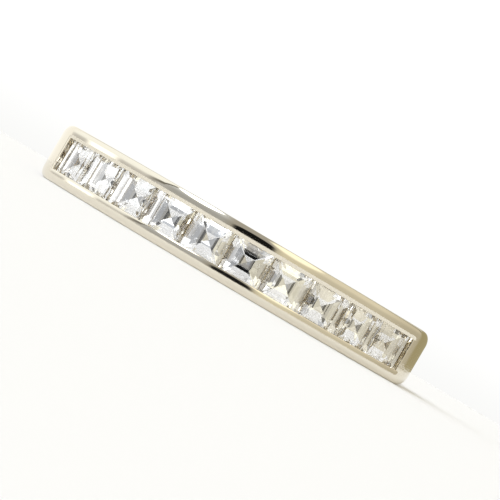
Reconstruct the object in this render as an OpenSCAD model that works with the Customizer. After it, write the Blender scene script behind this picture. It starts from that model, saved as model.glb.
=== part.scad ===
// Channel-set band ring: square step-cut stones stand in one row between two rails.
// The ring lies on its side on z = 0 with its axis along +Z, and the row of stones faces -Y.
// The origin is the middle of the outline, on the surface that the ring lies on.

/* [Band] */
// Radius of the finger hole
finger_r = 8.25; // [8:0.05:8.5]
// Width of the band along the finger
band_w = 2.8; // [2.6:0.05:3.2]
// Thickness of the shank at the sides and the back
shank_t = 1.65; // [1.4:0.05:1.75]
// Thickness at the middle of the row of stones
top_t = 2.05; // [1.9:0.05:2.3]
// Radius of the flatter arc that carries the stones
top_r = 12.05; // [11.9:0.05:12.4]
// Radius of the turn from the arc into the side
shoulder_r = 3.0; // [2.9:0.1:3.2]
// Rounding of the outer edges
edge_r = 0.3; // [0.15:0.05:0.4]
// Rounding of the finger hole's edges
comfort_r = 0.15; // [0.1:0.05:0.25]

/* [Channel] */
// Width of the channel between the two rails
channel_w = 1.64; // [1.5:0.02:1.8]
// Rounding of the rails' inner edges
lip_r = 0.12; // [0.05:0.01:0.13]
// Depth of the stones' girdles below the top of the rails
girdle_sink = 0.32; // [0.31:0.01:0.36]
// Side of the square window behind each stone
window_w = 1.0; // [0.7:0.05:1.1]

/* [Stones] */
// Number of stones in the row
stone_n = 10; // [6:1:10]
// Side of a stone at its girdle
stone_w = 2.0; // [1.9:0.01:2.02]
// Gap between neighbouring girdles
stone_gap = 0.04; // [0.02:0.01:0.06]
// Gap between a stone and the metal
seat_gap = 0.03; // [0.02:0.01:0.05]
// Height of the crown, as a share of the stone's side
crown_share = 0.07; // [0.05:0.01:0.08]
// Height of the girdle's band, as a share of the stone's side
girdle_share = 0.03; // [0.02:0.01:0.04]
// Depth of the pavilion, as a share of the stone's side
pavilion_share = 0.54; // [0.48:0.01:0.58]
// Width of the table, as a share of the stone's side
table_share = 0.62; // [0.5:0.01:0.66]

/* [Hidden] */
$fn = 180;
function stone_name(i) = str("stone_", i + 1);

side_x = finger_r + shank_t;
top_y = finger_r + top_t;
// The finger hole's centre is off the middle of the outline, because the top is thicker than the back
finger_y = (top_y - side_x) / 2;
// Centre of the stones' arc, behind the finger hole's centre
arc_y = top_y - top_r;
// Centre of the turn at each shoulder, tangent to the arc and to the straight side
turn_x = side_x - shoulder_r;
turn_y = arc_y + sqrt(pow(top_r - shoulder_r, 2) - pow(turn_x, 2));
arc_half = atan2(turn_x, turn_y - arc_y);
// Depth to which the band is solid before the finger hole is cut
blank_depth = shoulder_r - 0.1;

crown_h = crown_share * stone_w;
girdle_h = girdle_share * stone_w;
pavilion_h = pavilion_share * stone_w;
girdle_r = top_r - girdle_sink;
pitch = 2 * asin((stone_w + stone_gap) / (2 * girdle_r));
// Half of the channel's angle: the row and a gap at each end wall
channel_half = stone_n / 2 * pitch + asin(seat_gap / girdle_r);

// Steps of a stone from the culet up: [half width as a share of the half side, height as a share of the part]
PAVILION_STEPS = [[0.26, 0.22], [0.41, 0.35], [0.72, 0.67]];
CROWN_STEP = [0.82, 0.55];
culet_half = 0.02;
crown_step_h = girdle_h / 2 + CROWN_STEP[1] * crown_h;
// How far the ends of a flat stone stand above the arc through its middle
end_rise = sqrt(pow(girdle_r, 2) + pow(stone_w / 2, 2)) - girdle_r;
groove_half = stone_w / 2 + seat_gap;
// The rounding of a rail's inner edge is cut in two flats that meet this far from both of its sides
lip_bend = lip_r * (1 - sin(45));
// Depth of the channel's floor below the girdle, just clear of the culets
floor_drop = pavilion_h + 0.08;
floor_half = 0.8 * stone_w / 2;
// The seat under each side of the stones runs beside their topmost pavilion step
seat_step = PAVILION_STEPS[len(PAVILION_STEPS) - 1];
seat_run = pavilion_h * (1 - seat_step[1]) / ((1 - seat_step[0]) * stone_w / 2);
seat_drop = (groove_half - floor_half) * seat_run;

// Points of an arc round a centre, as [x, y]
function arc(cx, cy, r, from, to, steps = 6) =
  [for (i = [0 : steps]) let (a = from + (to - from) * i / steps) [cx + r * cos(a), cy + r * sin(a)]];

// Stations of the outline on an arc: [x, y of the surface, direction of its outward normal]
function arc_stations(cx, cy, r, from, to, steps) =
  [for (i = [0 : steps - 1]) let (a = from + (to - from) * i / steps) [cx + r * cos(a), cy + r * sin(a), a]];

// The whole outline, anticlockwise from the end of the right side's straight stretch
function outline_stations() = concat(
  arc_stations(turn_x, turn_y, shoulder_r, 0, 90 - arc_half, 5),
  arc_stations(0, arc_y, top_r, 90 - arc_half, 90 + arc_half, 40),
  arc_stations(-turn_x, turn_y, shoulder_r, 90 + arc_half, 180, 5),
  [[-side_x, turn_y, 180]],
  arc_stations(0, 0, side_x, 180, 360, 60),
  [[side_x, 0, 360]]
);

// The band's section as [depth below the surface, z], from its inner edge round to its inner edge
function band_section() = concat(
  [[blank_depth, 0]],
  [for (p = arc(edge_r, edge_r, edge_r, -90, -180, 4)) p],
  [for (p = arc(edge_r, band_w - edge_r, edge_r, 180, 90, 4)) p],
  [[blank_depth, band_w]]
);

// One side of the channel's section, from the floor past the seat and the groove to above the rails,
// as [radius, distance from mid-width]
function channel_side() = concat(
  [
    [girdle_r - floor_drop, 0.6 * floor_half],
    [girdle_r - 0.6 * floor_drop, floor_half],
    [girdle_r - girdle_h / 2 - seat_gap - seat_drop, floor_half],
    [girdle_r - girdle_h / 2 - seat_gap, groove_half],
    [girdle_r + girdle_h / 2 + end_rise + seat_gap, groove_half],
    [girdle_r + crown_step_h + end_rise + seat_gap, channel_w / 2]
  ],
  [
    [top_r - lip_r, channel_w / 2],
    [top_r - lip_bend, channel_w / 2 + lip_bend],
    [top_r + lip_bend, channel_w / 2 + 2 * lip_r - lip_bend]
  ],
  [[top_r + 1, channel_w / 2 + 2 * lip_r - lip_bend]]
);

function mirrored(points) = [for (i = [len(points) - 1 : -1 : 0]) [points[i][0], -points[i][1]]];

// Moves a shape drawn round the finger's centre, with the stones towards +Y, to its place in the ring
module place() {
  translate([0, finger_y, 0]) rotate([0, 0, 180]) children();
}

// The band before its finger hole, channel and windows are cut: its section carried round the outline
module blank() {
  stations = outline_stations();
  section = band_section();
  n = len(stations);
  m = len(section);
  points = [for (s = stations) for (p = section)
    [s[0] - p[0] * cos(s[2]), s[1] - p[0] * sin(s[2]), p[1]]];
  faces = [for (i = [0 : n - 1]) for (j = [0 : m - 1]) let (i2 = (i + 1) % n, j2 = (j + 1) % m)
    [i * m + j, i * m + j2, i2 * m + j2, i2 * m + j]];
  polyhedron(points, faces);
}

module finger_hole() {
  rotate_extrude() polygon(concat(
    [[0, -1], [finger_r + comfort_r, -1]],
    arc(finger_r + comfort_r, comfort_r, comfort_r, -90, -180),
    arc(finger_r + comfort_r, band_w - comfort_r, comfort_r, 180, 90),
    [[finger_r + comfort_r, band_w + 1], [0, band_w + 1]]
  ));
}

module channel() {
  translate([0, arc_y, band_w / 2]) rotate([0, 0, 90 - channel_half])
    rotate_extrude(angle = 2 * channel_half)
      polygon(concat(channel_side(), mirrored(channel_side())));
}

// Puts a shape drawn with its girdle on z = 0 and its table up into seat i of the row
module at_seat(i) {
  angle = 90 + (i - (stone_n - 1) / 2) * pitch;
  translate([0, arc_y, band_w / 2]) rotate([0, 0, angle])
    translate([girdle_r, 0, 0]) rotate([0, 90, 0]) children();
}

module windows() {
  for (i = [0 : stone_n - 1]) at_seat(i)
    translate([-window_w / 2, -window_w / 2, -3.2]) cube([window_w, window_w, 2.8]);
}

module band() {
  color("Gainsboro") place() difference() {
    blank();
    finger_hole();
    channel();
    windows();
  }
}

// The four corners of one square level of a stone
function level(half, z) = [[half, half, z], [-half, half, z], [-half, -half, z], [half, -half, z]];

// Levels from the culet to the table, as [half width, height above the girdle's middle]
function stone_levels() = let (h = stone_w / 2) concat(
  [[culet_half, -girdle_h / 2 - pavilion_h]],
  [for (s = PAVILION_STEPS) [s[0] * h, -girdle_h / 2 - pavilion_h * (1 - s[1])]],
  [[h, -girdle_h / 2], [h, girdle_h / 2]],
  [[CROWN_STEP[0] * h, crown_step_h]],
  [[table_share * h, girdle_h / 2 + crown_h]]
);

module stone() {
  levels = stone_levels();
  last = len(levels) - 1;
  points = [for (l = levels) each level(l[0], l[1])];
  sides = [for (k = [0 : last - 1]) for (c = [0 : 3]) let (n = (c + 1) % 4)
    [4 * k + c, 4 * (k + 1) + c, 4 * (k + 1) + n, 4 * k + n]];
  ends = [[0, 1, 2, 3], [4 * last + 3, 4 * last + 2, 4 * last + 1, 4 * last]];
  polyhedron(points, concat(sides, ends));
}

module seated_stone(i) {
  color("AliceBlue", 0.6) place() at_seat(i) stone();
}

band();
for (i = [0 : stone_n - 1]) seated_stone(i);
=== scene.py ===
"""Looks of the channel-set band ring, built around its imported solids.

Lengths are in mm until to_place() scales them, and angles are in degrees.
"""
import math
from collections import namedtuple

import bmesh
import bpy
from mathutils import Matrix, Vector


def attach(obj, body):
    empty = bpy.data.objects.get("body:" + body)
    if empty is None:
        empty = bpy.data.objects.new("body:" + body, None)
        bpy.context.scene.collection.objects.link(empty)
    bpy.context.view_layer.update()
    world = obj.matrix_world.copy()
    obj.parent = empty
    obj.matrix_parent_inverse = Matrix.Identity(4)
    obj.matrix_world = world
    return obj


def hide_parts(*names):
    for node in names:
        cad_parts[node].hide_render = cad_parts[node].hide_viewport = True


MM = 0.001

# The ring's own sizes, the same as the solids have
FINGER_R = 8.25
BAND_W = 2.8
MID_Z = BAND_W / 2
SIDE_X = 9.9
TOP_R = 12.05
ARC_Y = 1.75
TURN_R = 3.0
TURN_X = SIDE_X - TURN_R
TURN_Y = math.sqrt((TOP_R - TURN_R) ** 2 - TURN_X ** 2) - ARC_Y
ARC_HALF = math.degrees(math.atan2(TURN_X, TURN_Y + ARC_Y))
# The finger hole's centre is off the middle of the outline, because the top is thicker than the back
FINGER_Y = 0.2
# Places in plan are measured from the finger hole's centre
HOLE_CENTRE = Vector((0, 0))
ARC_CENTRE = Vector((0, ARC_Y))

# The stones
STONES = 10
STONE_W = 2.0
STONE_GAP = 0.04
GIRDLE_SINK = 0.32
GIRDLE_R = TOP_R - GIRDLE_SINK
GIRDLE_H = 0.06
CROWN_H = 0.14
# The crown's step: its half width as a share of the half side, and its height as a share of the crown's
CROWN_STEP = (0.82, 0.55)
TABLE_SHARE = 0.62
# The pavilion is 0.017 less deep than in the solids, because its innermost step is flatter
PAVILION_H = 1.063
# Half widths of the pavilion's levels as shares of the half side, and the slopes of two of its steps
CULET_HALF = 0.02
INNER_HALF = 0.26
MIDDLE_HALF = 0.42
OUTER_HALF = 0.72
INNER_SLOPE = 41.5
OUTER_SLOPE = 48
PITCH = math.degrees(2 * math.asin((STONE_W + STONE_GAP) / (2 * GIRDLE_R)))

# The channel that holds the stones
SEAT_GAP = 0.03
SLOT_HALF = 0.82
CHANNEL_HALF = STONES / 2 * PITCH + math.degrees(math.asin(SEAT_GAP / GIRDLE_R))
# How far the ends of a flat stone stand above the arc through its middle
END_RISE = math.hypot(GIRDLE_R, STONE_W / 2) - GIRDLE_R
WALL_BOTTOM_R = GIRDLE_R + GIRDLE_H / 2 + CROWN_STEP[1] * CROWN_H + END_RISE + SEAT_GAP
GROOVE_HALF = STONE_W / 2 + SEAT_GAP
GROOVE_TOP_R = GIRDLE_R + GIRDLE_H / 2 + END_RISE + SEAT_GAP
GROOVE_BOTTOM_R = GIRDLE_R - GIRDLE_H / 2 - SEAT_GAP
# The seat falls by this much for its width, beside the topmost step of the pavilion
SEAT_FALL = 1.28
FLOOR_HALF = 0.8 * STONE_W / 2
SEAT_BOTTOM_R = GROOVE_BOTTOM_R - (GROOVE_HALF - FLOOR_HALF) * SEAT_FALL
# The channel's floor slopes in from its sides and is flat between the sides of the windows
FLOOR_EDGE_DROP = 0.7
CULET_GAP = 0.08
FLOOR_R = GIRDLE_R - PAVILION_H - CULET_GAP
WINDOW_HALF = 0.5
WINDOW_ANGLE = math.degrees(math.asin(WINDOW_HALF / FLOOR_R))

# The roundings that catch the light. The width runs across the band, and a fullness below 1 is flatter at
# the crest and fuller at the edge than an ellipse
Rounding = namedtuple("Rounding", "width depth fullness")
RAIL_ROUND = Rounding(0.315, 0.17, 0.75)
SHANK_ROUND = Rounding(0.55, 0.42, 1.0)
LIP_ROUND = Rounding(0.265, 0.045, 0.6)
COMFORT_R = 0.15
# At this angle of the turn the rail's rounding has become the shank's
SHANK_ANGLE = 85

# How finely the skin is cut: points across a rounding, then cuts along each part of the band
ROUND_STEPS = 12
COMFORT_STEPS = 6
LIP_STEPS = 7
TURN_STEPS = 36
SIDE_STEPS = 12
BACK_STEPS = 60
BESIDE_STEPS = 5
WINDOW_STEPS = 12
STONE_STEPS = 2 * BESIDE_STEPS + WINDOW_STEPS
# Lines just past a rounding, which keep the shading of the flat faces flat
PAST_ROUND = (0.02, 0.3)
# Lines across the plain surface, from the slot's side inwards
ACROSS_SLOT = (0.02, 0.1, 0.3, 0.5)
# Points closer than this become one, and edges that bend by more than this stay sharp
WELD = 0.002
SHARP_ANGLE = 40

# Every stone is cut and set by hand: slopes of its middle step along and across the row, its culet's shift
# along and across, and how far its table faces up
STONE_CUTS = (
    ((47.0, 43.0), (0.020, -0.010), 1.4),
    ((43.0, 46.5), (-0.015, 0.015), 1.0),
    ((46.5, 43.5), (0.010, 0.020), 1.3),
    ((45.0, 43.0), (-0.020, 0.010), 1.5),
    ((45.0, 46.5), (0.015, -0.015), 1.2),
    ((47.5, 45.0), (-0.010, 0.005), 1.4),
    ((45.0, 43.0), (0.010, 0.015), 1.1),
    ((45.0, 47.0), (-0.015, -0.010), 1.4),
    ((43.5, 46.5), (0.020, 0.010), 1.0),
    ((46.5, 43.0), (-0.010, -0.015), 1.3),
)
CORNERS = ((1, 1), (-1, 1), (-1, -1), (1, -1))

# The camera: its distance from the middle of the finger hole, its angles, and how far to the right of that
# middle and above it the picture is centred
CAMERA_AWAY = 112.0
CAMERA_TURN = 3.5
CAMERA_HEIGHT = 0.05
CAMERA_ROLL = 30.5
AIM_RIGHT = 0.526
AIM_UP = 0.362
LENS = 165.3
SENSOR_W = 36

# Light turns back many times inside a stone before it leaves
BOUNCES = 64
# Radius of the floor, in metres
FLOOR_DISC = 0.13


# Places and directions in plan


def direction(angle):
    """Unit vector at an angle from the middle of the row (-Y), positive towards +X."""
    a = math.radians(angle)
    return Vector((math.sin(a), -math.cos(a)))


def hit_circle(start, way, centre, radius):
    """Where a ray from inside a circle leaves it."""
    to_start = start - centre
    b = to_start.dot(way)
    return start + way * (-b + math.sqrt(b * b - to_start.length_squared + radius * radius))


def stone_angle(i):
    """Where stone i sits on the arc."""
    return (i - (STONES - 1) / 2) * PITCH


def to_place(p):
    return Vector((p.x, p.y + FINGER_Y, p.z)) * MM


# The cuts across the band


class Station:
    """One cut across the band.

    It knows its place on the outer surface, the way out of it and the way to the hole's wall. It also knows
    how far it is past the slot's end, its rounding and, in the channel, the way out from the arc's centre.
    """

    def __init__(self, outer, normal, inner_way, past_slot=0.0, rounding=RAIL_ROUND, arc_way=None):
        self.outer = outer
        self.normal = normal
        self.inner_way = inner_way
        self.past_slot = past_slot
        self.rounding = rounding
        self.arc_way = arc_way

    def at_depth(self, depth, z):
        """A point below the outer surface."""
        p = self.outer - self.normal * depth
        return Vector((p.x, p.y, z))

    def at_radius(self, radius, z):
        """A point at a distance from the centre of the stones' arc."""
        p = ARC_CENTRE + self.arc_way * radius
        return Vector((p.x, p.y, z))

    def at_hole(self, offset, z):
        """A point behind the hole's wall."""
        p = self.inner_way * (FINGER_R + offset)
        return Vector((p.x, p.y, z))


def arc_station(angle):
    """A cut at an angle about the centre of the stones' arc."""
    way = direction(angle)
    inner = hit_circle(ARC_CENTRE, way, HOLE_CENTRE, FINGER_R)
    if abs(angle) <= ARC_HALF:
        outer = ARC_CENTRE + way * TOP_R
        normal = way
    else:
        turn = Vector((math.copysign(TURN_X, angle), -TURN_Y))
        outer = hit_circle(ARC_CENTRE, way, turn, TURN_R)
        normal = (outer - turn).normalized()
    return Station(outer, normal, inner.normalized(), arc_way=way)


def channel_stations():
    """Cuts along the row from its left end to its right end, with one on each side of every window."""
    angles = [-CHANNEL_HALF, -STONES / 2 * PITCH]
    for i in range(STONES):
        middle = stone_angle(i)
        ends = (middle - PITCH / 2, middle - WINDOW_ANGLE, middle + WINDOW_ANGLE, middle + PITCH / 2)
        for start, end, steps in zip(ends, ends[1:], (BESIDE_STEPS, WINDOW_STEPS, BESIDE_STEPS)):
            angles += [start + (end - start) * (k + 1) / steps for k in range(steps)]
    angles.append(CHANNEL_HALF)
    return [arc_station(a) for a in angles]


def first_of_window(i):
    """Index of the channel station on the left side of window i."""
    return 1 + STONE_STEPS * i + BESIDE_STEPS


def is_window(k):
    """True where the faces between channel station k and the next lie in a window."""
    return any(first_of_window(i) <= k < first_of_window(i) + WINDOW_STEPS for i in range(STONES))


def turn_stations():
    """Cuts round the right shoulder, from the end of the slot to the straight side."""
    first = arc_station(CHANNEL_HALF)
    turn = Vector((TURN_X, -TURN_Y))
    start = math.degrees(math.atan2(first.outer.x - turn.x, turn.y - first.outer.y))
    start_inner = math.degrees(math.atan2(first.inner_way.x, -first.inner_way.y))
    end_inner = math.degrees(math.atan2(SIDE_X, TURN_Y))
    lip_steps = [LIP_ROUND.width * (1 - math.cos(t)) for t in quarter(LIP_STEPS)]
    angles = [start + math.degrees(d / TURN_R) for d in lip_steps]
    lip_end = angles[-1]
    angles += [lip_end + (90 - lip_end) * (k + 1) / TURN_STEPS for k in range(TURN_STEPS)]
    made = []
    for a in angles:
        share = (a - start) / (90 - start)
        inner = start_inner + (end_inner - start_inner) * share
        past = TURN_R * math.radians(a - start)
        blend = min(1.0, max(0.0, (a - lip_end) / (SHANK_ANGLE - lip_end)))
        rounding = Rounding(*(r + (k - r) * blend for r, k in zip(RAIL_ROUND, SHANK_ROUND)))
        made.append(Station(turn + direction(a) * TURN_R, direction(a), direction(inner), past, rounding))
    return made


def side_stations():
    """Cuts along the straight right side."""
    made = []
    for k in range(1, SIDE_STEPS + 1):
        outer = Vector((SIDE_X, -TURN_Y * (1 - k / SIDE_STEPS)))
        made.append(Station(outer, Vector((1, 0)), outer.normalized(), math.inf, SHANK_ROUND))
    return made


def back_stations():
    """Cuts round the shank, from its right side to the middle of the back."""
    ways = [direction(90 + 90 * k / BACK_STEPS) for k in range(1, BACK_STEPS + 1)]
    return [Station(way * SIDE_X, way, way, math.inf, SHANK_ROUND) for way in ways]


def mirror(station):
    """The same cut on the left."""
    flip = Vector((-1, 1))
    return Station(station.outer * flip, station.normal * flip, station.inner_way * flip,
                   station.past_slot, station.rounding)


def plain_stations():
    """Cuts from the right end of the slot round the back to its left end."""
    half = turn_stations() + side_stations() + back_stations()
    return half + [mirror(s) for s in reversed(half[:-1])]


# The lines that each cut draws


def quarter(steps):
    """Angles of a quarter turn, in radians."""
    return [math.pi / 2 * k / steps for k in range(steps + 1)]


def rounded(fullness):
    """A rounding from its crest to its edge, as shares of its width and its depth."""
    turns = quarter(ROUND_STEPS)[:-1]
    return [(math.sin(t) ** fullness, 1 - math.cos(t) ** fullness) for t in turns] + [(1.0, 1.0)]


def lip_depth(x):
    """Depth of the rounded lip at a distance x from the slot."""
    width, depth, fullness = LIP_ROUND
    share = min(1.0, max(0.0, 1 - x / width))
    return depth * (1 - (1 - share ** (2 / fullness)) ** (fullness / 2))


def mirrored(line):
    """The same points on the other side of mid-width, so that the whole section runs on."""
    return line + [Vector((p.x, p.y, BAND_W - p.z)) for p in reversed(line)]


def outside_points(s):
    """From the crest of the lower rail round the outside and through the hole to the upper rail's crest."""
    width, depth, fullness = s.rounding
    comfort = [(1 - math.sin(t), 1 - math.cos(t)) for t in quarter(COMFORT_STEPS)]
    line = [s.at_depth(depth * d, width * (1 - w)) for w, d in rounded(fullness)]
    line += [s.at_depth(depth + d, 0.0) for d in PAST_ROUND]
    line += [s.at_hole(COMFORT_R + d, 0.0) for d in reversed(PAST_ROUND)]
    line += [s.at_hole(COMFORT_R * back, COMFORT_R * up) for back, up in comfort]
    line += [s.at_hole(0.0, COMFORT_R + PAST_ROUND[0]), s.at_hole(0.0, MID_Z - WINDOW_HALF)]
    return mirrored(line)


def channel_points(s):
    """From the crest of the lower rail down into the channel and up to the crest of the upper rail."""
    width, depth, fullness = LIP_ROUND
    line = [s.at_depth(depth * d, RAIL_ROUND.width + width * w) for w, d in rounded(fullness)]
    line += [
        s.at_radius(WALL_BOTTOM_R, MID_Z - SLOT_HALF),
        s.at_radius(GROOVE_TOP_R, MID_Z - GROOVE_HALF),
        s.at_radius(GROOVE_BOTTOM_R, MID_Z - GROOVE_HALF),
        s.at_radius(SEAT_BOTTOM_R, MID_Z - FLOOR_HALF),
        s.at_radius(GIRDLE_R - FLOOR_EDGE_DROP, MID_Z - FLOOR_HALF),
        s.at_radius(FLOOR_R, MID_Z - WINDOW_HALF),
    ]
    return mirrored(line)


def surface_points(s):
    """Across the plain surface from crest to crest. It rolls over into the slot's end."""
    start = RAIL_ROUND.width
    crest = s.rounding.width
    places = [start + LIP_ROUND.width * w for w, d in rounded(LIP_ROUND.fullness)]
    places += [MID_Z - SLOT_HALF + d for d in ACROSS_SLOT]
    line = []
    for place in places:
        z = crest + (place - start) / (MID_Z - start) * (MID_Z - crest)
        across = max(0.0, MID_Z - z - SLOT_HALF)
        line.append(s.at_depth(lip_depth(math.hypot(s.past_slot, across)), z))
    return mirrored(line)


# The band


def add_grid(bm, rows, skip=None):
    """Faces between neighbouring rows of points, apart from those that skip names."""
    verts = [[bm.verts.new(to_place(p)) for p in row] for row in rows]
    for i in range(len(rows) - 1):
        for j in range(len(rows[0]) - 1):
            if skip is None or not skip(i, j):
                bm.faces.new((verts[i][j], verts[i][j + 1], verts[i + 1][j + 1], verts[i + 1][j]))


def add_window(bm, stations):
    """The four walls of one window, from the channel's floor to the finger hole."""
    low, high = MID_Z - WINDOW_HALF, MID_Z + WINDOW_HALF
    ring = [(s, low) for s in stations] + [(s, high) for s in reversed(stations)]
    ring.append(ring[0])
    add_grid(bm, [[s.at_radius(FLOOR_R, z), s.at_hole(0, z)] for s, z in ring])


def add_end_wall(bm, section, end):
    """The wall at one end of the channel, under the plain surface that rolls into it."""
    wall = section[ROUND_STEPS:-ROUND_STEPS]
    top = list(reversed(end[ROUND_STEPS + 1:-ROUND_STEPS - 1]))
    bm.faces.new([bm.verts.new(to_place(p)) for p in wall + top])


def shade_smooth(bm):
    """Smooth shading, with the edges that bend much left sharp."""
    for face in bm.faces:
        face.smooth = True
    for edge in bm.edges:
        edge.smooth = not (edge.is_manifold and edge.calc_face_angle() > math.radians(SHARP_ANGLE))


def to_object(bm, name):
    mesh = bpy.data.meshes.new(name)
    bm.to_mesh(mesh)
    bm.free()
    made = bpy.data.objects.new(name, mesh)
    bpy.context.collection.objects.link(made)
    return made


def build_band():
    """The whole band as one closed skin."""
    bm = bmesh.new()
    channel = channel_stations()
    plain = plain_stations()
    outside = [outside_points(s) for s in channel]
    inside = [list(reversed(channel_points(s))) for s in channel]
    surface = [list(reversed(surface_points(s))) for s in plain]
    hole_middle = len(outside[0]) // 2 - 1
    floor_middle = len(inside[0]) // 2 - 1

    add_grid(bm, outside, lambda i, j: j == hole_middle and is_window(i))
    add_grid(bm, [outside_points(s) for s in plain])
    add_grid(bm, inside, lambda i, j: j == floor_middle and is_window(i))
    add_grid(bm, surface)
    for i in range(STONES):
        first = first_of_window(i)
        add_window(bm, channel[first:first + WINDOW_STEPS + 1])
    add_end_wall(bm, inside[0], surface[-1])
    add_end_wall(bm, inside[-1], surface[0])
    bmesh.ops.remove_doubles(bm, verts=bm.verts, dist=WELD * MM)
    bmesh.ops.recalc_face_normals(bm, faces=bm.faces)
    shade_smooth(bm)
    return to_object(bm, "band_skin")


# The stones


def stone_levels(slopes, culet):
    """Rectangles from the culet up to the table.

    Each is (centre along, centre across, half along, half across, height). The slopes are those of the
    middle step along and across the row, and the culet is given by its shift along and across.
    """
    half = STONE_W / 2
    under = -GIRDLE_H / 2
    middle_rise = (MIDDLE_HALF - INNER_HALF) * half
    inner_z = under - PAVILION_H + (INNER_HALF - CULET_HALF) * half * math.tan(math.radians(INNER_SLOPE))
    middle_z = inner_z + middle_rise
    outer_run = OUTER_HALF - MIDDLE_HALF
    outer_z = middle_z + outer_run * half * math.tan(math.radians(OUTER_SLOPE))

    def level(shares, height, shift=(0, 0)):
        return (*shift, shares[0] * half, shares[1] * half, height)

    middle = [INNER_HALF + middle_rise / half / math.tan(math.radians(s)) for s in slopes]
    return [
        level((CULET_HALF, CULET_HALF), under - PAVILION_H, culet),
        level((INNER_HALF, INNER_HALF), inner_z),
        level(middle, middle_z),
        level([m + outer_run for m in middle], outer_z),
        level((1, 1), under),
        level((1, 1), -under),
        level((CROWN_STEP[0], CROWN_STEP[0]), -under + CROWN_STEP[1] * CROWN_H),
        level((TABLE_SHARE, TABLE_SHARE), -under + CROWN_H),
    ]


def build_stone(i):
    """Stone i of the row, with flat facets."""
    slopes, culet, faces_up = STONE_CUTS[i]
    bm = bmesh.new()
    out = direction(stone_angle(i))
    along = direction(stone_angle(i) + 90)
    lean = math.radians(faces_up)
    rows = []
    for mid_a, mid_c, half_a, half_c, height in stone_levels(slopes, culet):
        row = []
        for side_a, side_c in CORNERS:
            across = mid_c + side_c * half_c
            rise = height * math.cos(lean) - across * math.sin(lean)
            z = MID_Z + across * math.cos(lean) + height * math.sin(lean)
            p = ARC_CENTRE + out * (GIRDLE_R + rise) + along * (mid_a + side_a * half_a)
            row.append(bm.verts.new(to_place(Vector((p.x, p.y, z)))))
        rows.append(row)
    for lower, upper in zip(rows, rows[1:]):
        for k in range(4):
            n = (k + 1) % 4
            bm.faces.new((lower[k], lower[n], upper[n], upper[k]))
    bm.faces.new(rows[0])
    bm.faces.new(rows[-1])
    bmesh.ops.recalc_face_normals(bm, faces=bm.faces)
    return to_object(bm, f"stone_cut_{i + 1}")


# Materials


def new_material(name):
    material = bpy.data.materials.new(name)
    material.use_nodes = True
    return material, material.node_tree, material.node_tree.nodes["Principled BSDF"]


def noise(tree, scale, detail, stretch=(1, 1, 1)):
    """A noise texture in object space; the scale counts features per metre."""
    place = tree.nodes.new("ShaderNodeTexCoord")
    mapping = tree.nodes.new("ShaderNodeMapping")
    mapping.inputs["Scale"].default_value = stretch
    texture = tree.nodes.new("ShaderNodeTexNoise")
    texture.inputs["Scale"].default_value = scale
    texture.inputs["Detail"].default_value = detail
    tree.links.new(place.outputs["Object"], mapping.inputs["Vector"])
    tree.links.new(mapping.outputs["Vector"], texture.inputs["Vector"])
    return texture.outputs["Fac"]


def ranged(tree, value, low, high):
    """Spreads a 0-1 value over a range."""
    node = tree.nodes.new("ShaderNodeMapRange")
    node.inputs["To Min"].default_value = low
    node.inputs["To Max"].default_value = high
    tree.links.new(value, node.inputs["Value"])
    return node.outputs["Result"]


def metal_material():
    """Polished white gold with a trace of wear."""
    material, tree, shader = new_material("white_gold")
    shader.inputs["Base Color"].default_value = (0.80, 0.75, 0.64, 1)
    shader.inputs["Metallic"].default_value = 1.0
    wear = ranged(tree, noise(tree, scale=900, detail=4), low=0.03, high=0.07)
    tree.links.new(wear, shader.inputs["Roughness"])
    bump = tree.nodes.new("ShaderNodeBump")
    bump.inputs["Strength"].default_value = 0.02
    bump.inputs["Distance"].default_value = 0.00002
    tree.links.new(noise(tree, scale=2500, detail=2, stretch=(1, 1, 3)), bump.inputs["Height"])
    tree.links.new(bump.outputs["Normal"], shader.inputs["Normal"])
    return material


def stone_material():
    """A colourless stone with a high refractive index."""
    material, tree, shader = new_material("diamond")
    shader.inputs["Base Color"].default_value = (0.92, 0.925, 0.94, 1)
    shader.inputs["Transmission Weight"].default_value = 1.0
    shader.inputs["IOR"].default_value = 2.417
    polish = ranged(tree, noise(tree, scale=1500, detail=2), low=0.0, high=0.012)
    tree.links.new(polish, shader.inputs["Roughness"])
    return material


def floor_material():
    """A plain pale floor that glows a little."""
    material, tree, shader = new_material("floor")
    shader.inputs["Base Color"].default_value = (0.845, 0.855, 0.9, 1)
    shader.inputs["Roughness"].default_value = 0.9
    shader.inputs["Specular IOR Level"].default_value = 0.1
    shader.inputs["Emission Color"].default_value = (1.0, 1.0, 1.0, 1)
    shader.inputs["Emission Strength"].default_value = 0.05
    return material


def dress(piece, material):
    piece.data.materials.clear()
    piece.data.materials.append(material)


# Light

# Colours of the room, from left to right as the rails show them
LEFT_WALL = (1.2, 1.22, 1.2)
FAINT_LINE = (0.72, 0.71, 0.7)
DARK_LINE = (0.12, 0.11, 0.09)
PALE_GAP = (0.95, 0.95, 0.97)
GREY_GAP = (0.68, 0.71, 0.74)
GREY_CREST = (0.55, 0.57, 0.6)
NEAR_LENS = (0.45, 0.43, 0.39)
GOLD_CARD = (1.02, 0.95, 0.73)
KHAKI_WALL = (0.88, 0.82, 0.66)
FAR_KHAKI = (0.70, 0.64, 0.50)
LOW_SHADE = (0.28, 0.26, 0.21)

# Colours behind the ring and under the horizon
RIGHT_EDGE = (0.10, 0.09, 0.06)
OLIVE = (0.42, 0.37, 0.22)
BACK_RIGHT_TOP = (0.75, 0.72, 0.62)
BACK_LEFT = (1.15, 1.14, 1.1)
BACK_LEFT_TOP = (0.6, 0.6, 0.58)
BACKDROP = (0.95, 0.95, 0.935)
BACKDROP_TOP = (1.1, 1.1, 1.1)
GROUND = (0.985, 0.98, 0.95)

# The line under the left wall: its lowest tilt, and how much faster its upper edge climbs than its lower
LINE_FOOT = -5.0
LINE_WIDENING = 1.35

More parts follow.
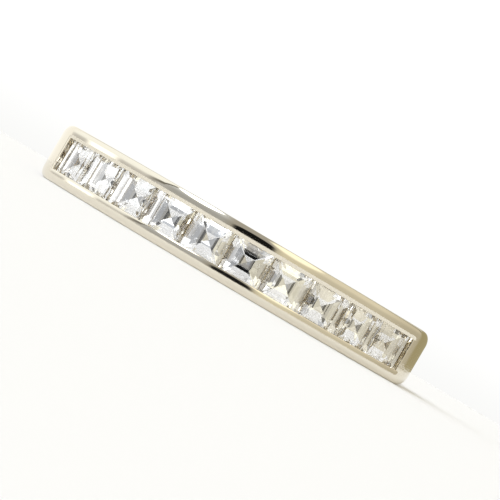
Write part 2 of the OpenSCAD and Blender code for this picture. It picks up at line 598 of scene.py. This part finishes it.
# Where each wall starts, going right: its mirror turn, the blur of its edge and its colour
WALLS = (
    (-7, 2, NEAR_LENS),
    (6, 2, GOLD_CARD),
    (16, 3, KHAKI_WALL),
    (40, 8, FAR_KHAKI),
)

# Lamps and the lens as ovals: middle and half width of their mirror turn and tilt, their blur and colour
OVALS = (
    ((-14.5, 5.9), (26, 16), 0.3, (5.0, 5.0, 4.9)),
    ((11, 7), (25.5, 20), 0.4, (1.4, 1.35, 1.1)),
    ((0.1, 5.4), (1, 7.5), 0.3, (0.01, 0.01, 0.01)),
)
STRIP_LAMP = (1.7, 1.7, 1.65)

# Sockets of a colour mix node, which share their names with those for other kinds of value
MIX_SHARE, MIX_A, MIX_B, MIX_OUT = 0, 6, 7, 2
IN_DEGREES = 180 / math.pi


class Studio:
    """The room's light as soft patches set by their direction round the ring.

    turn, height and off_front say where a direction points: its angle to the right of the camera, above the
    horizon and away from the camera. face_turn and face_tilt say which way a mirror faces that shows it.
    """

    def __init__(self, world):
        world.use_nodes = True
        self.tree = world.node_tree
        self.tree.nodes.clear()
        place = self.tree.nodes.new("ShaderNodeTexCoord")
        way = place.outputs["Generated"]
        self.turn, self.height = self.angles(way)
        front = self.vector_math("DOT_PRODUCT", way)
        self.off_front = self.times(self.calc("ARCCOSINE", front.outputs["Value"]), IN_DEGREES)
        total = self.vector_math("ADD", way)
        unit = self.tree.nodes.new("ShaderNodeVectorMath")
        unit.operation = "NORMALIZE"
        self.tree.links.new(total.outputs["Vector"], unit.inputs[0])
        self.face_turn, self.face_tilt = self.angles(unit.outputs["Vector"])

    def vector_math(self, operation, way):
        """An operation on a direction and the one towards the camera."""
        node = self.tree.nodes.new("ShaderNodeVectorMath")
        node.operation = operation
        node.inputs[1].default_value = (*direction(CAMERA_TURN), 0)
        self.tree.links.new(way, node.inputs[0])
        return node

    def angles(self, way):
        """A direction's angle to the right of the camera and above the horizon."""
        split = self.tree.nodes.new("ShaderNodeSeparateXYZ")
        self.tree.links.new(way, split.inputs["Vector"])
        turn = self.calc("ARCTAN2", split.outputs["X"], self.times(split.outputs["Y"], -1.0))
        turn = self.minus(turn, math.radians(CAMERA_TURN))
        height = self.calc("ARCSINE", split.outputs["Z"])
        return self.times(turn, IN_DEGREES), self.times(height, IN_DEGREES)

    def calc(self, operation, a, b=None):
        """A math node on sockets or numbers."""
        node = self.tree.nodes.new("ShaderNodeMath")
        node.operation = operation
        for socket, value in zip(node.inputs, (a, b)):
            if value is None:
                continue
            if isinstance(value, (int, float)):
                socket.default_value = value
            else:
                self.tree.links.new(value, socket)
        return node.outputs["Value"]

    def plus(self, a, b):
        return self.calc("ADD", a, b)

    def minus(self, a, b):
        return self.calc("SUBTRACT", a, b)

    def times(self, a, b):
        return self.calc("MULTIPLY", a, b)

    def step(self, value, edge, blur):
        """0 below the edge and 1 above it, with a soft passage."""
        node = self.tree.nodes.new("ShaderNodeMapRange")
        node.interpolation_type = "SMOOTHSTEP"
        node.inputs["From Min"].default_value = edge - blur
        node.inputs["From Max"].default_value = edge + blur
        self.tree.links.new(value, node.inputs["Value"])
        return node.outputs["Result"]

    def between(self, value, edges, blur):
        """1 between two edges and 0 outside them."""
        return self.minus(self.step(value, edges[0], blur), self.step(value, edges[1], blur))

    def window(self, turn, tilt, turn_blur, tilt_blur):
        """1 within a window of mirror turns and tilts, with soft edges."""
        across = self.between(self.face_turn, turn, turn_blur)
        return self.times(across, self.between(self.face_tilt, tilt, tilt_blur))

    def climb(self, start, rate):
        """A tilt that is 0 at one mirror turn and climbs at this rate to the right of it."""
        return self.times(self.minus(self.face_turn, start), rate)

    def oval(self, turn, tilt, blur):
        """1 within an oval of mirror turns and tilts, each given as its middle and its half width."""
        across = self.calc("DIVIDE", self.minus(self.face_turn, turn[0]), turn[1])
        up = self.calc("DIVIDE", self.minus(self.face_tilt, tilt[0]), tilt[1])
        away = self.plus(self.times(across, across), self.times(up, up))
        return self.minus(1.0, self.step(away, 1.0, blur))

    def mix(self, share, a, b):
        """Passes from colour a to colour b."""
        node = self.tree.nodes.new("ShaderNodeMix")
        node.data_type = "RGBA"
        for socket, value in ((node.inputs[MIX_A], a), (node.inputs[MIX_B], b)):
            if isinstance(value, tuple):
                socket.default_value = (*value, 1)
            else:
                self.tree.links.new(value, socket)
        self.tree.links.new(share, node.inputs[MIX_SHARE])
        return node.outputs[MIX_OUT]

    def finish(self, colour):
        """Makes this colour the world's light."""
        background = self.tree.nodes.new("ShaderNodeBackground")
        self.tree.links.new(colour, background.inputs["Color"])
        output = self.tree.nodes.new("ShaderNodeOutputWorld")
        self.tree.links.new(background.outputs["Background"], output.inputs["Surface"])


def walls(studio):
    """The walls from left to right: pale, grey, the dark round the lens, gold card and khaki."""
    grey = studio.mix(studio.step(studio.face_tilt, 7, 6), GREY_CREST, GREY_GAP)
    room = studio.mix(studio.step(studio.face_turn, -25, 4), PALE_GAP, grey)
    for edge, blur, colour in WALLS:
        room = studio.mix(studio.step(studio.face_turn, edge, blur), room, colour)
    return room


def add_left_wall(studio, room):
    """The white wall to the left, over a line that climbs to the right, gently and then steeply."""
    gentle = studio.climb(start=-22.8, rate=0.8)
    steep = studio.climb(start=-23.8, rate=5.6)
    rise = studio.calc("MAXIMUM", studio.calc("MAXIMUM", steep, gentle), LINE_FOOT)
    above = studio.minus(studio.face_tilt, rise)
    over = studio.minus(studio.face_tilt, studio.times(rise, LINE_WIDENING))
    line = studio.mix(studio.step(studio.face_turn, -27, 3), FAINT_LINE, DARK_LINE)
    room = studio.mix(studio.step(above, 3, 1.5), room, line)
    return studio.mix(studio.step(over, 9, 2.5), room, LEFT_WALL)


def add_low_shade(studio, room):
    """A shade over what the rails show below their crests, deeper to the right of the left wall."""
    low = studio.minus(1.0, studio.step(studio.face_tilt, 6, 7))
    deep = studio.times(studio.step(studio.face_turn, -26, 4), 0.25)
    return studio.mix(studio.times(low, studio.plus(deep, 0.1)), room, LOW_SHADE)


def add_lamps(studio, room):
    """The strip lamp to the left, two round lamps and the dark lens between them."""
    strip = studio.window(turn=(-49, -38.5), tilt=(-3, 4), turn_blur=2, tilt_blur=1.5)
    room = studio.mix(strip, room, STRIP_LAMP)
    for turn, tilt, blur, colour in OVALS:
        room = studio.mix(studio.oval(turn, tilt, blur), room, colour)
    return room


def add_back(studio, room):
    """A dark edge high to the right, then the part of the room behind the ring, to its left and right."""
    edge = studio.times(studio.step(studio.turn, 20, 10), studio.step(studio.off_front, 108, 3))
    edge = studio.times(edge, studio.step(studio.height, 20, 15))
    room = studio.mix(edge, room, RIGHT_EDGE)
    left = studio.mix(studio.step(studio.height, 40, 15), BACK_LEFT, BACK_LEFT_TOP)
    right = studio.mix(studio.step(studio.height, 28, 8), OLIVE, BACK_RIGHT_TOP)
    back = studio.mix(studio.step(studio.turn, 0, 30), left, right)
    return studio.mix(studio.step(studio.off_front, 114, 6), room, back)


def add_backdrop(studio, room):
    """The white backdrop straight behind the ring, and the ground all round in the floor's tone."""
    backdrop = studio.mix(studio.step(studio.height, 1.0, 1.8), BACKDROP, BACKDROP_TOP)
    room = studio.mix(studio.step(studio.off_front, 166, 4), room, backdrop)
    return studio.mix(studio.step(studio.height, -2.2, 0.7), GROUND, room)


def light_room():
    """The room, laid out by the mirror that shows it."""
    world = bpy.data.worlds.new("studio")
    bpy.context.scene.world = world
    studio = Studio(world)
    room = walls(studio)
    for add in (add_left_wall, add_low_shade, add_lamps, add_back, add_backdrop):
        room = add(studio, room)
    studio.finish(room)


def make_floor():
    bpy.ops.mesh.primitive_circle_add(vertices=128, radius=FLOOR_DISC, fill_type="NGON", location=(0, 0, 0))
    floor = bpy.context.object
    floor.name = "floor"
    dress(floor, floor_material())


# Camera


def make_camera():
    """The camera looks at the row almost square on, a little from the right, rolled as the ring slants."""
    camera = bpy.data.objects.new("camera", bpy.data.cameras.new("camera"))
    bpy.context.collection.objects.link(camera)
    camera.data.lens = LENS
    camera.data.sensor_width = SENSOR_W
    camera.data.clip_start = 0.001
    camera.data.clip_end = 20
    turn, rise, roll = (math.radians(v) for v in (CAMERA_TURN, CAMERA_HEIGHT, CAMERA_ROLL))
    back = Vector((math.sin(turn) * math.cos(rise), -math.cos(turn) * math.cos(rise), math.sin(rise)))
    level = Vector((0, 0, 1)).cross(back).normalized()
    upright = back.cross(level)
    right = level * math.cos(roll) + upright * math.sin(roll)
    up = upright * math.cos(roll) - level * math.sin(roll)
    centre = Vector((0, FINGER_Y, MID_Z))
    eye = (centre + back * CAMERA_AWAY) * MM
    aim = (centre + right * AIM_RIGHT + up * AIM_UP) * MM
    view = (eye - aim).normalized()
    side = up.cross(view).normalized()
    camera.matrix_world = Matrix((side, view.cross(side), view)).transposed().to_4x4()
    camera.location = eye
    bpy.context.scene.camera = camera


def show_settings():
    """Plain colours, and enough bounces for light to find its way out of the stones."""
    scene = bpy.context.scene
    scene.view_settings.view_transform = "Standard"
    scene.view_settings.look = "None"
    scene.cycles.max_bounces = BOUNCES
    scene.cycles.transmission_bounces = BOUNCES
    scene.cycles.glossy_bounces = BOUNCES
    scene.cycles.diffuse_bounces = 4


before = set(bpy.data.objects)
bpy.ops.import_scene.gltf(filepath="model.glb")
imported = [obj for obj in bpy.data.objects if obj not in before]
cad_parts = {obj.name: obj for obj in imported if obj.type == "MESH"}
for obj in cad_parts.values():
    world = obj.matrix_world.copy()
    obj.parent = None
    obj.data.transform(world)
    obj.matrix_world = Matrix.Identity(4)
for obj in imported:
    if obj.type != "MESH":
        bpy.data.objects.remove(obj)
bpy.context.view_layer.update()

metal = metal_material()
stone = stone_material()

band = build_band()
dress(band, metal)
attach(band, "root")
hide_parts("band")
for i in range(STONES):
    cut_stone = build_stone(i)
    dress(cut_stone, stone)
    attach(cut_stone, "root")
    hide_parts(f"stone_{i + 1}")

make_floor()
light_room()
make_camera()
show_settings()
